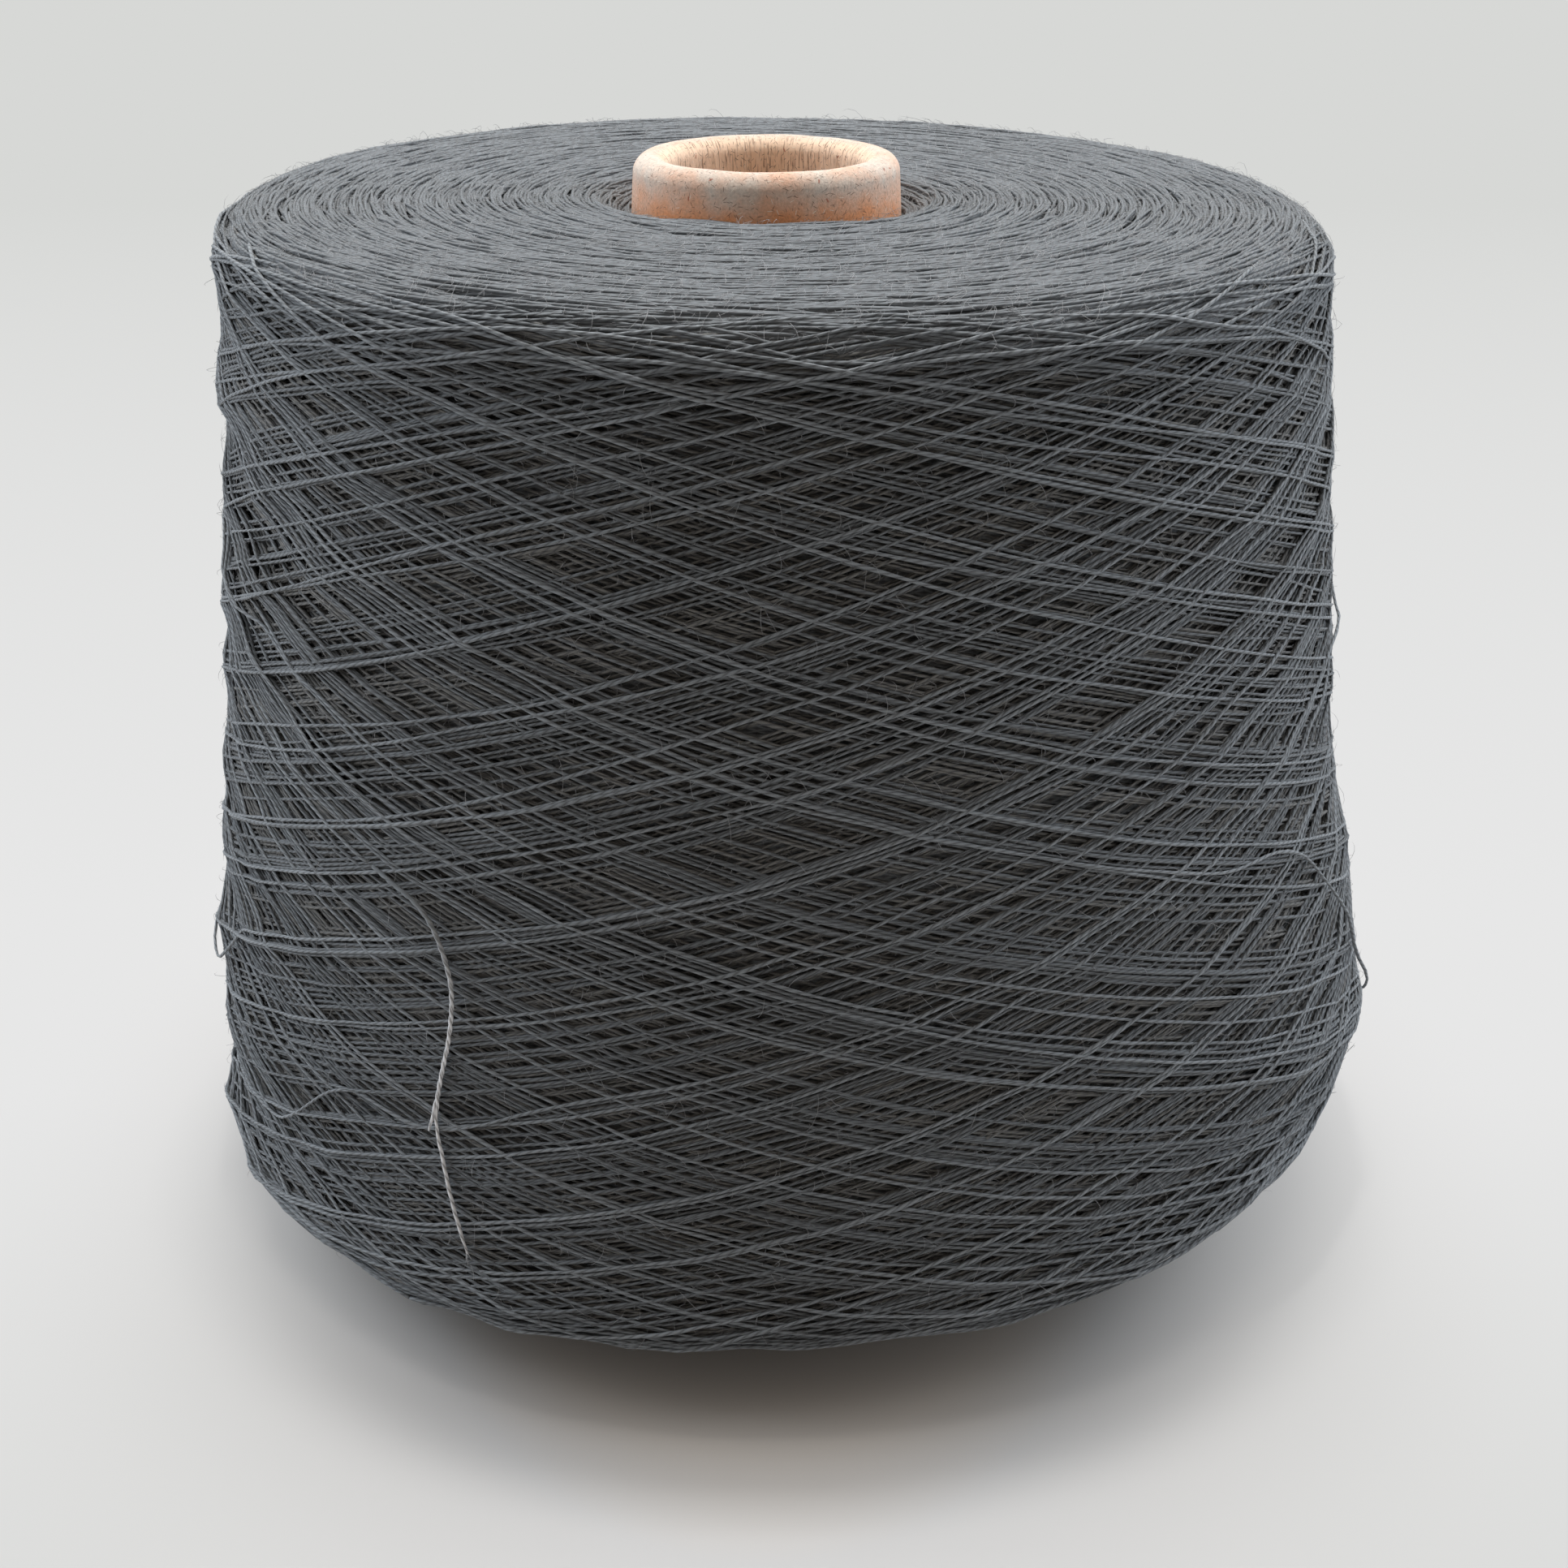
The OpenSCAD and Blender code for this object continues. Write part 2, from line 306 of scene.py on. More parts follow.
class Package:
    """The yarn package's outline, and the map from (angle, way along the outline, height) to space."""

    def __init__(self, p):
        low, high = YARN_LOW.z, YARN_HIGH.z
        side_low, side_high = low + p.bottom_shoulder, high - p.top_shoulder
        bottom_centre = (package_radius(p, side_low) - p.bottom_shoulder, side_low)
        top_centre = (package_radius(p, side_high) - p.top_shoulder, side_high)
        parts = (
            dip(p, low, -1),
            arc(bottom_centre, p.bottom_shoulder, -90, 0, ARC_STEPS),
            arc(top_centre, p.top_shoulder, 0, 90, ARC_STEPS),
            dip(p, high, 1)[::-1],
        )
        corners = np.array([point for part in parts for point in part])
        way = running(np.linalg.norm(np.diff(corners, axis=0), axis=1))
        ends = np.cumsum([len(part) for part in parts])
        self.side = way[ends[1] - 1], way[ends[2] - ARC_STEPS - 1]
        self.faces = way[ends[1] - ARC_STEPS - 1], way[ends[2] - 1]
        self.rows = int(way[-1] / CELL) + 1
        self.way = np.arange(self.rows) * CELL
        self.r = np.interp(self.way, way, corners[:, 0])
        self.z = np.interp(self.way, way, corners[:, 1])
        tangent = np.stack([np.gradient(self.r), np.gradient(self.z)])
        smooth = np.ones(9) / 9
        tangent = np.stack([np.convolve(np.pad(t, 4, "edge"), smooth, "valid") for t in tangent])
        tangent /= np.linalg.norm(tangent, axis=0)
        self.normal_r, self.normal_z = tangent[1], -tangent[0]
        self.on_side = (self.way > self.side[0]) & (self.way < self.side[1])

    def point(self, angle, way, height):
        """Points in space for arrays of angles, ways along the outline and heights over it."""
        r, z = (np.interp(way, self.way, values) for values in (self.r, self.z))
        hollow = np.where(way > self.faces[1], YARN_HIGH.z - z, 0)
        height = height + hollow * FRONT_FILL * np.clip(-np.sin(angle) * 1.6 - 0.5, 0, 1)
        r = r + height * np.interp(way, self.way, self.normal_r)
        z = z + height * np.interp(way, self.way, self.normal_z)
        return uneven(angle, r, z)

    def places(self, rng, low, high, count):
        """Ways along the outline, drawn evenly over the surface from low to high, and their radii."""
        ways = rng.uniform(low, high, count * 3)
        radii = np.interp(ways, self.way, self.r)
        ways = ways[rng.uniform(0, radii.max(), len(ways)) < radii][:count, None]
        return ways, np.interp(ways, self.way, self.r)


def uneven(angle, r, z):
    """Points in space for arrays of angles, radii and heights, with the package's uneven shape.

    The lower end's lean fades out from 6 to 30 mm over its face, and the upper end's starts 7 to
    9 mm under its face.
    """
    out = r + swelling(angle, z) * np.clip((r - SWELLING_START) / SWELLING_FADE, 0, 1)
    low = np.clip((YARN_LOW.z + 30 * MM - z) / (24 * MM), 0, 1)
    high = np.clip((z - YARN_HIGH.z + 9 * MM) / (2 * MM), 0, 1)
    lean = BOTTOM_LEAN * eased(low) + TOP_LEAN * high
    return np.stack([out * np.cos(angle), out * np.sin(angle), z + r * np.cos(angle) * lean], axis=-1)


def swelling(angle, z):
    """How far the package swells or draws in at an angle and a height."""
    total = OFF_CENTRE * np.cos(angle) * np.ones(np.shape(z))
    for direction, height, spread, reach, amount in SWELLINGS:
        turn = turn_from(math.radians(direction), angle) / math.radians(spread)
        rise = (z - height * MM) / (reach * MM)
        total += amount * MM * np.exp(-(turn**4) - rise**4)
    return total


def wander(rng, length, step, amount):
    """Smooth random values, one for each of length samples, that change over step samples."""
    knots = rng.normal(0, amount, length // step + 4)
    at = np.arange(length) / step
    first = at.astype(int)
    blend = eased(at - first)
    return knots[first] * (1 - blend) + knots[first + 1] * blend


# ---- Winding ----


def lay(heights, column, row, thickness):
    """Lays a taut strand over the height map and returns the height of its underside.

    It runs straight from crest to crest of what is under it, sinks a little into each crest, and
    then counts as ground for the strands that come after it.
    """
    count = len(column)
    row = np.clip(row, 1, heights.shape[1] - 2)
    ground = np.max([heights[column, row + k] for k in (-1, 0, 1)], axis=0)
    taut = ground.copy()
    for reach in (40, 20, 10, 5, 2, 1, 20, 10, 5, 2, 1):
        sag = (reach * SAMPLE) ** 2 / (2 * BEND_RADIUS)
        padded = np.pad(taut, reach, "edge")
        taut = np.maximum(taut, (padded[:count] + padded[2 * reach:]) / 2 - sag)
    soft = np.hanning(11)[1:-1]
    under = np.convolve(np.pad(taut, 4, "edge"), soft / soft.sum(), "valid") - SINK * thickness
    # the strand fills its own row of cells, and half of each row beside it
    for k, share in ((-1, 0.5), (0, 1), (1, 0.5)):
        cells = heights[column, row + k]
        heights[column, row + k] = np.maximum(cells, under + share * PACKED * thickness)
    return under


@functools.lru_cache(maxsize=1)
def wound():
    """Winds all covers. Returns the package, its height map and each cover's line and heights."""
    p = bpy.context.scene.yarn_cone_sizes
    rng = np.random.default_rng(p.seed)
    package = Package(p)
    heights = np.full((COLUMNS, package.rows), -p.strand_depth)
    angle = reach = 0
    side_low, side_high = package.side
    low_reach = side_low - package.faces[0]
    high_reach = package.faces[1] - side_high
    low_end = side_low - 0.5 * low_reach
    lines = {}
    for name, passes, loops, drift, stray, skew, sway, _, _, _ in COVERS:
        samples = int(loops * COLUMNS)
        share = np.arange(samples) / samples
        climb = np.arcsin(TURN_SHARPNESS * -np.cos(2 * np.pi * share)) / math.asin(TURN_SHARPNESS)
        angles, ways, unders = [], [], []
        for _ in range(passes):
            reach += 2 * math.pi * loops + math.radians(drift)
            turn = reach + math.radians(rng.normal(0, stray)) - angle
            high_end = side_high + high_reach * rng.uniform(0.05, 0.85)
            next_low = side_low - low_reach * rng.uniform(0.05, 0.85)
            start = np.where(share < 0.5, low_end, next_low)
            way = start + (high_end - start) * (climb + 1) / 2
            bow = wander(rng, samples, 200, sway * MM) + wander(rng, samples, 60, 0.12 * MM)
            way = way + bow * np.sin(np.pi * share)
            line = angle + turn * share + math.radians(rng.normal(0, skew)) * np.sin(np.pi * share) ** 2
            column = np.round(line / (2 * math.pi) * COLUMNS).astype(int) % COLUMNS
            under = lay(heights, column, np.round(way / CELL).astype(int), p.yarn_diameter)
            angles.append(line)
            ways.append(way)
            unders.append(under)
            angle += turn
            low_end = next_low
        lines[name] = [np.concatenate(part) for part in (angles, ways, unders)]
        lines[name][2] += p.yarn_diameter / 2
    # the last cover ends where it comes down to the loose end's height, and all turn to meet it
    outer = lines[COVERS[-1][0]]
    tail_way = np.interp(p.tail_height, package.z[package.on_side], package.way[package.on_side])
    coming_down = len(outer[1]) - samples // 2 + np.argmin(abs(outer[1][-samples // 2:] - tail_way))
    outer[:] = [part[:coming_down + 1] for part in outer]
    turned = int(round((p.tail_angle - outer[0][-1]) / (2 * math.pi) * COLUMNS))
    for line in lines.values():
        line[0] += turned / COLUMNS * 2 * math.pi
    heights = np.roll(heights, turned % COLUMNS, axis=0)
    settle = np.clip(1 - np.arange(len(outer[2]))[::-1] * SAMPLE / TAIL_SETTLE, 0, 1)
    outer[2] += eased(settle) * (-p.yarn_diameter / 2 - outer[2])
    slacken(package, *outer)
    for line in lines.values():
        line[2] = np.minimum(line[2], room_for_tail(p, package, *line[:2]))
    return package, heights, lines


def room_for_tail(p, package, angle, way):
    """Greatest height that leaves the loose end in sight, for angles and ways along the outline."""
    route = tail_route(p)[::-1]
    z = np.interp(way, package.way, package.z)
    course = np.interp(z, route[:, 2], np.unwrap(np.arctan2(route[:, 1], route[:, 0])))
    lift = np.interp(p.tail_height - z, *np.array(TAIL_ROUTE).T[1:] * MM)
    off = turn_from(course, angle) * package.r.max()
    below, above = route[0, 2] - z, z - route[-1, 2]
    aside = np.hypot(off, np.clip(below, 0, None))
    seat = lift - 0.1 * MM - 0.8 * p.yarn_diameter
    return seat + 0.2 * np.clip(aside - 0.6 * MM, 0, None) + 2 * np.clip(above, 0, None)


def slacken(package, angle, way, height):
    """Lifts the strand off the side at each slack loop, at the strand's place nearest to it."""
    z = np.interp(way, package.way, package.z)
    radius = package.r[package.rows // 2]
    length = running(np.hypot(radius * np.diff(angle), np.diff(way)))
    for direction, at_z, out, aside, half, lag in SLACK_LOOPS:
        turn = turn_from(math.radians(direction), angle) * radius
        middle = np.argmin(turn**2 + (z - at_z * MM) ** 2)
        along = (length - length[middle]) / (half * MM)
        for values, amount, late in ((height, out, 0), (way, aside, lag)):
            share = np.clip(along - late, -1, 1)
            values += amount * MM * np.cos(np.pi / 2 * share) ** 2


# ---- Tubes ----


def linked(name, data):
    """A new object of the scene for a mesh, a curve, a lamp or a camera."""
    made = bpy.data.objects.new(name, data)
    bpy.context.scene.collection.objects.link(made)
    return made


def tubes(name, lines, radius, sides, width=None):
    """Makes one mesh of round tubes along lines of points.

    width is each line's share of the radius at its points. A width of 0 at an end closes it.
    The map "strand" holds metres along the strand and the share of a turn round it.
    """
    curve = bpy.data.curves.new(name, "CURVE")
    curve.dimensions = "3D"
    if sides == 3:
        profile = triangle(radius)
        curve.bevel_mode = "OBJECT"
        curve.bevel_object = profile
    else:
        curve.bevel_depth = radius
        curve.bevel_resolution = (sides - 4) // 2
    for i, line in enumerate(lines):
        spline = curve.splines.new("POLY")
        spline.points.add(len(line) - 1)
        spline.points.foreach_set("co", np.column_stack([line, np.ones(len(line))]).ravel())
        if width is not None:
            spline.points.foreach_set("radius", np.ascontiguousarray(width[i], float))
    shape = linked(name, curve)
    depsgraph = bpy.context.evaluated_depsgraph_get()
    mesh = bpy.data.meshes.new_from_object(shape.evaluated_get(depsgraph))
    bpy.data.objects.remove(shape)
    bpy.data.curves.remove(curve)
    if sides == 3:
        bpy.data.objects.remove(profile)
    mesh.name = name
    mesh.uv_layers.remove(mesh.uv_layers[0])
    map_strands(mesh, lines, sides)
    if width is not None:
        close_tips(mesh, lines, sides)
    mesh.shade_smooth()
    return linked(name, mesh)


def capped(line, width):
    """Adds a point of no width just past each end of a line, which closes its tube."""
    first = line[0] + (line[0] - line[1]) * 0.03
    last = line[-1] + (line[-1] - line[-2]) * 0.03
    return np.vstack([first, line, last]), np.concatenate(([0], width, [0]))


def triangle(radius):
    """A three-sided profile for tubes too fine to need more."""
    curve = bpy.data.curves.new("profile", "CURVE")
    curve.dimensions = "2D"
    spline = curve.splines.new("POLY")
    spline.points.add(2)
    for point, (x, y) in zip(spline.points, arc((0, 0), radius, 0, 240, 2)):
        point.co = (x, y, 0, 1)
    spline.use_cyclic_u = True
    return linked("profile", curve)


def map_strands(mesh, lines, sides):
    """Gives tubes the maps "strand", in real lengths, and "OFBake", in rows of short stretches."""
    rings = np.array([len(line) for line in lines])
    total = rings.sum()
    line_of = np.repeat(np.arange(len(lines)), rings)
    first = running(rings)[:-1]
    points = np.concatenate(lines)
    steps = np.linalg.norm(np.diff(points, axis=0, prepend=points[:1]), axis=1)
    steps[first] = 13.7 * MM  # each line starts at another place in the twist
    along = np.cumsum(steps)
    corner = np.empty(len(mesh.loops), np.int32)
    mesh.loops.foreach_get("vertex_index", corner)
    corner = corner.reshape(-1, 4)
    ring, side = corner // sides, corner % sides
    wraps = side.max(axis=1) - side.min(axis=1) > 1
    side = np.where(wraps[:, None] & (side == 0), sides, side)
    around = side / sides
    strand = mesh.uv_layers.new(name="strand")
    strand.uv.foreach_set("vector", np.stack([along[ring], around], -1).astype(np.float32).ravel())
    most_rows = 170
    stretch = max(int(np.ceil(total / most_rows)), 2) if len(lines) < most_rows else rings.max()
    in_line = np.arange(total) - first[line_of]
    per_line = np.ceil(rings / stretch).astype(int)
    strip_first = running(per_line)[:-1]
    lowest = ring.min(axis=1)
    strip = strip_first[line_of[lowest]] + in_line[lowest] // stretch
    count = per_line.sum()
    columns = int(np.ceil(count / most_rows))
    rows = int(np.ceil(count / columns))
    start = in_line[lowest] // stretch * stretch
    u = (in_line[ring] - start[:, None]) / stretch * 0.98 + 0.01
    v = around * 0.8 + 0.1
    strip = strip[:, None]
    bake = np.stack([(strip % columns + u) / columns, (strip // columns + v) / rows], -1)
    baked = mesh.uv_layers.new(name="OFBake")
    baked.uv.foreach_set("vector", bake.astype(np.float32).ravel())


def close_tips(mesh, lines, sides):
    """Merges the rings of no width at the ends of tubes into points."""
    rings = np.array([len(line) for line in lines])
    last = np.cumsum(rings) - 1
    tips = np.concatenate([last - rings + 1, last])
    corners = (tips[:, None] * sides + np.arange(sides)).ravel()
    edit = bmesh.new()
    edit.from_mesh(mesh)
    edit.verts.ensure_lookup_table()
    bmesh.ops.remove_doubles(edit, verts=[edit.verts[i] for i in corners], dist=1e-7)
    edit.to_mesh(mesh)
    edit.free()


def new_piece(name, edit):
    """Turns a finished bmesh into an object of the scene."""
    mesh = bpy.data.meshes.new(name)
    edit.to_mesh(mesh)
    edit.free()
    mesh.shade_smooth()
    return linked(name, mesh)


def spun(points, steps, closed):
    """A bmesh of an outline of (radius, height) points, turned round the Z axis.

    The vertex attribute "way" holds the way along the outline in metres.
    """
    edit = bmesh.new()
    way_layer = edit.verts.layers.float.new("way")
    corners = [edit.verts.new((r, 0, z)) for r, z in points]
    for before, corner in zip(corners, corners[1:]):
        corner[way_layer] = before[way_layer] + (corner.co - before.co).length
    pairs = list(zip(corners, corners[1:])) + ([(corners[-1], corners[0])] if closed else [])
    edges = [edit.edges.new(pair) for pair in pairs]
    bmesh.ops.spin(edit, geom=corners + edges, cent=(0, 0, 0), axis=(0, 0, 1),
                   angle=2 * math.pi, steps=steps, use_merge=True)
    bmesh.ops.recalc_face_normals(edit, faces=edit.faces)
    return edit


def own(piece, material, slot, *replaced):
    """Dresses a finished piece and ties it to the frame."""
    piece.data.materials.clear()
    piece.data.materials.append(material)
    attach(piece, BODY)
    if replaced:
        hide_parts(*replaced)


# ---- Materials ----


def linear(colour):
    """A hex sRGB colour as linear RGBA."""
    parts = [int(colour[i:i + 2], 16) / 255 for i in (1, 3, 5)]
    return (*[c / 12.92 if c <= 0.04045 else ((c + 0.055) / 1.055) ** 2.4 for c in parts], 1)


class Look:
    """A material in the making. Its methods add a node and return what comes out of it.

    What goes into a node is a value, or what came out of another one.
    """

    def __init__(self, name):
        self.material = bpy.data.materials.new(name)
        self.material.use_nodes = True
        self.tree = self.material.node_tree
        self.tree.nodes.clear()
        self.shader = self.add("BsdfPrincipled")
        self.add("OutputMaterial", {"Surface": self.shader.outputs[0]})

    def add(self, kind, inputs=None, **settings):
        """Adds a node with its settings and inputs, and returns the node."""
        made = self.tree.nodes.new("ShaderNode" + kind)
        for key, value in settings.items():
            setattr(made, key, value)
        self.fill(made, inputs or {})
        return made

    def fill(self, node, inputs):
        """Sets or links a node's inputs."""
        for key, value in inputs.items():
            if isinstance(value, bpy.types.NodeSocket):
                self.tree.links.new(value, node.inputs[key])
            else:
                node.inputs[key].default_value = value

    def finished(self, **inputs):
        """Fills the shader's inputs, whose names have _ for each space, and returns the material."""
        self.fill(self.shader, {key.replace("_", " "): value for key, value in inputs.items()})
        return self.material

    def math(self, operation, *values):
        return self.add("Math", dict(enumerate(values)), operation=operation).outputs[0]

    def vector(self, operation, *values):
        return self.add("VectorMath", dict(enumerate(values)), operation=operation).outputs[0]

    def size(self, vector):
        return self.add("VectorMath", {0: vector}, operation="LENGTH").outputs["Value"]

    def scaled(self, colour, scale):
        return self.add("VectorMath", {0: colour, "Scale": scale}, operation="SCALE").outputs[0]

    def ramp(self, value, low, high, to_low=0, to_high=1, **settings):
        """Maps a value from low..high to to_low..to_high, and no further."""
        inputs = dict(enumerate((value, low, high, to_low, to_high)))
        return self.add("MapRange", inputs, **settings).outputs[0]

    def mix(self, share, first, second):
        """A colour between two, which are hex values or come out of other nodes."""
        pair = [linear(side) if isinstance(side, str) else side for side in (first, second)]
        return self.add("Mix", {0: share, 6: pair[0], 7: pair[1]}, data_type="RGBA").outputs[2]

    def noise(self, place, scale=1, **inputs):
        return self.add("TexNoise", {"Vector": place, "Scale": scale, **inputs}).outputs[0]

    def bump(self, height, strength, distance):
        inputs = {"Height": height, "Strength": strength, "Distance": distance}
        return self.add("Bump", inputs).outputs[0]

    def place(self):
        return self.add("TexCoord").outputs["Object"]

    def strand(self):
        """Metres along a strand, and the share of a turn round it."""
        return self.split(self.add("UVMap", uv_map="strand").outputs[0])[:2]

    def split(self, vector):
        return self.add("SeparateXYZ", {0: vector}).outputs[:]

    def joined(self, *parts):
        return self.add("CombineXYZ", dict(enumerate(parts))).outputs[0]

    def round_way(self, x, y, radius):
        """Metres round the Z axis at a radius."""
        return self.math("MULTIPLY", self.math("ARCTAN2", y, x), radius)


def spun_yarn(name, colour, groove, pitch, plain=None, relief=0.6, shade=1.0):
    """Soft two-ply yarn of short fibres, spun and plied.

    The eye sees two plies turn round each other, fine streaks of fibre along them, slow changes
    of shade along the strand and no gloss, only a pale bloom at a grazing view.
    """
    look = Look(name)
    along, around = look.strand()
    ply_turn = look.math("ADD", around, look.math("DIVIDE", along, pitch))
    crown = look.math("ABSOLUTE", look.math("COSINE", look.math("MULTIPLY", ply_turn, 2 * math.pi)))
    # fibre streaks: 0.15 mm wide and some 1.2 mm long, drawn twice as wide as real fibres
    streak_place = look.joined(look.math("MULTIPLY", along, 900), look.math("MULTIPLY", ply_turn, 7))
    streaks = look.noise(streak_place, Detail=3, Roughness=0.6)
    slow = look.noise(look.joined(look.math("MULTIPLY", along, 28)), Detail=3)
    height = look.math("MULTIPLY_ADD", streaks, 0.55, crown)
    # painted shade: the low parts of the ply relief, in the groove between the plies and between fibre
    # streaks, take the darker groove colour
    plied = look.mix(look.ramp(height, 0.25, 1.15), groove, colour)
    if plain:
        # the loose end looks like the rest of the yarn where it starts, and worn further down
        worn = look.ramp(look.split(look.place())[2], 78 * MM, 58 * MM)
        plied = look.mix(worn, plain, plied)
    # the slow changes are random tone; shade scales them, so the deep covers are painted darker as shade
    # and the outer ones lighter as painted light
    lightness = look.ramp(slow, 0.3, 0.7, 0.82 * shade, 1.16 * shade)
    return look.finished(Base_Color=look.scaled(plied, lightness),
                         Normal=look.bump(height, relief, 0.13 * MM), Roughness=0.88,
                         Specular_IOR_Level=0.25, Sheen_Weight=0.12, Sheen_Roughness=0.55)


def wound_yarn(name, colour, groove):
    """The body of the package under its outermost strands: crossed strands, packed close.

    Two sets of ridges a strand apart cross at the winding angle, in shade. The valleys between the
    ridges are painted in the darker groove colour as shade.
    """
    look = Look(name)
    place = look.place()
    x, y, z = look.split(place)
    round_way = look.round_way(x, y, MEAN_RADIUS)
    warp = look.noise(place, 60)
    ridges = []
    for slope in (-0.3, 0.3):
        lean = look.math("MULTIPLY_ADD", round_way, slope, z)
        bent = look.math("MULTIPLY_ADD", warp, 2.5 * MM, lean)
        ridges.append(look.math("SINE", look.math("MULTIPLY", bent, 2 * math.pi / (0.9 * MM))))
    level = look.ramp(look.math("MAXIMUM", *ridges), -1, 1)
    # painted shade: the valleys between the ridges take the darker groove colour
    return look.finished(Base_Color=look.mix(level, groove, colour), Roughness=0.95,
                         Normal=look.bump(level, 1, 0.3 * MM), Specular_IOR_Level=0.15)


def loose_fibre(name, colour):
    """Single fibres of the yarn, which catch the light as a pale fuzz."""
    look = Look(name)
    shade = look.noise(look.joined(look.math("MULTIPLY", look.strand()[0], 90)))
    tone = look.scaled(linear(colour)[:3], look.ramp(shade, 0.3, 0.7, 0.7, 1.25))
    return look.finished(Base_Color=tone, Roughness=0.7, Sheen_Weight=0.3)


def kraft_board(name, finish, lip_z):
    """Recycled kraft board, rolled and pressed: matt, mottled, full of fine dark and pale fibres.

    Its darker, warmer patches are random mottling, drawn stronger under the roll of the nose and
    towards the front as painted shade and warm bounced light. It is crimped where it is turned in.
    The attribute "way" holds metres along the outline, so marks keep their size over the roll.
    """
    look = Look(name)
    place = look.place()
    x, y, z = look.split(place)
    way = look.add("Attribute", attribute_name="way").outputs["Fac"]
    flat = look.joined(look.round_way(x, y, 20 * MM), way)
    clouds = look.noise(place, 170, Detail=4, Roughness=0.6)
    grain = look.noise(place, 2600, Detail=3, Roughness=0.7)
    radius = look.size(look.vector("MULTIPLY", place, (1, 1, 0)))
    # painted shade and warm bounced light: the dark patches grow stronger towards the front and under
    # the roll of the nose, and weaker inside
    front = look.ramp(y, -5 * MM, -17 * MM, 0.3, 0.62)
    outside = look.ramp(radius, 18 * MM, 19.5 * MM, -0.3, front)
    patches = look.math("MULTIPLY_ADD", look.ramp(z, lip_z, lip_z - 5 * MM), outside, clouds)
    shown = look.mix(look.ramp(patches, 0.4, 1), finish.paper, finish.paper_mottle_and_shade)
    shown = look.scaled(shown, look.ramp(grain, 0.3, 0.7, 0.82, 1.16))
    # the inside is painted paler, standing in for the light bounced round inside the nose, with slanted
    # creases where the hem was turned in
    inside = look.ramp(radius, 17.6 * MM, 16.4 * MM)
    shown = look.mix(look.math("MULTIPLY", inside, 0.92), shown, finish.paper_inside_light)
    crimps = look.add("Mapping", {0: flat, 2: (0, 0, 0.25), 3: (3400, 300, 1)}).outputs[0]
    creased = look.math("MULTIPLY", look.ramp(look.noise(crimps, Detail=2), 0.55, 0.64), inside)
    # painted shade: the creases are darkened, besides being sunk in the bump
    shown = look.mix(look.math("MULTIPLY", creased, 0.5), shown, finish.paper_crease_shade)
    # fibres: colour, cells per metre, length and width in mm, share of the cells that hold one
    marks = (("#33261D", 1100, 0.62, 0.10, 0.5), ("#5C3A29", 700, 1.0, 0.13, 0.45),
             ("#F4EADB", 600, 0.9, 0.13, 0.35), ("#A04A2A", 330, 0.9, 0.35, 0.12))
    relief = 0
    for tint, density, long, wide, filled in marks:
        mark = fibre_marks(look, flat, density, long * MM, wide * MM, filled)
        shown = look.mix(look.math("MULTIPLY", mark, 0.7), shown, tint)
        relief = look.math("MAXIMUM", mark, relief)
    raised = look.math("MULTIPLY_ADD", relief, 0.3, look.math("ADD", grain, clouds))
    sunk = look.math("MULTIPLY_ADD", creased, -1.2, raised)
    return look.finished(Base_Color=shown, Normal=look.bump(sunk, 0.7, 0.12 * MM), Roughness=0.92,
                         Specular_IOR_Level=0.2, Sheen_Weight=0.15)


def fibre_marks(look, flat, density, long, wide, filled):
    """Short fibres strewn over a flat map in every direction: where they are, from 0 to 1."""
    cells = look.add("TexVoronoi", {"Vector": flat, "Scale": density}, voronoi_dimensions="2D")
    offset = look.vector("SUBTRACT", flat, cells.outputs["Position"])
    spin, draw, _ = look.add("SeparateColor", {0: cells.outputs["Color"]}).outputs
    inputs = {"Vector": offset, "Angle": look.math("MULTIPLY", spin, 2 * math.pi)}
    turned = look.add("VectorRotate", inputs, rotation_type="Z_AXIS").outputs[0]
    shares = []
    for part, half in zip(look.split(turned), (long / 2, wide / 2)):
        shares.append(look.ramp(look.math("ABSOLUTE", part), half, half * 0.5))
    held = look.math("LESS_THAN", draw, filled)
    return look.math("MULTIPLY", look.math("MULTIPLY", *shares), held)


# ---- Pieces ----


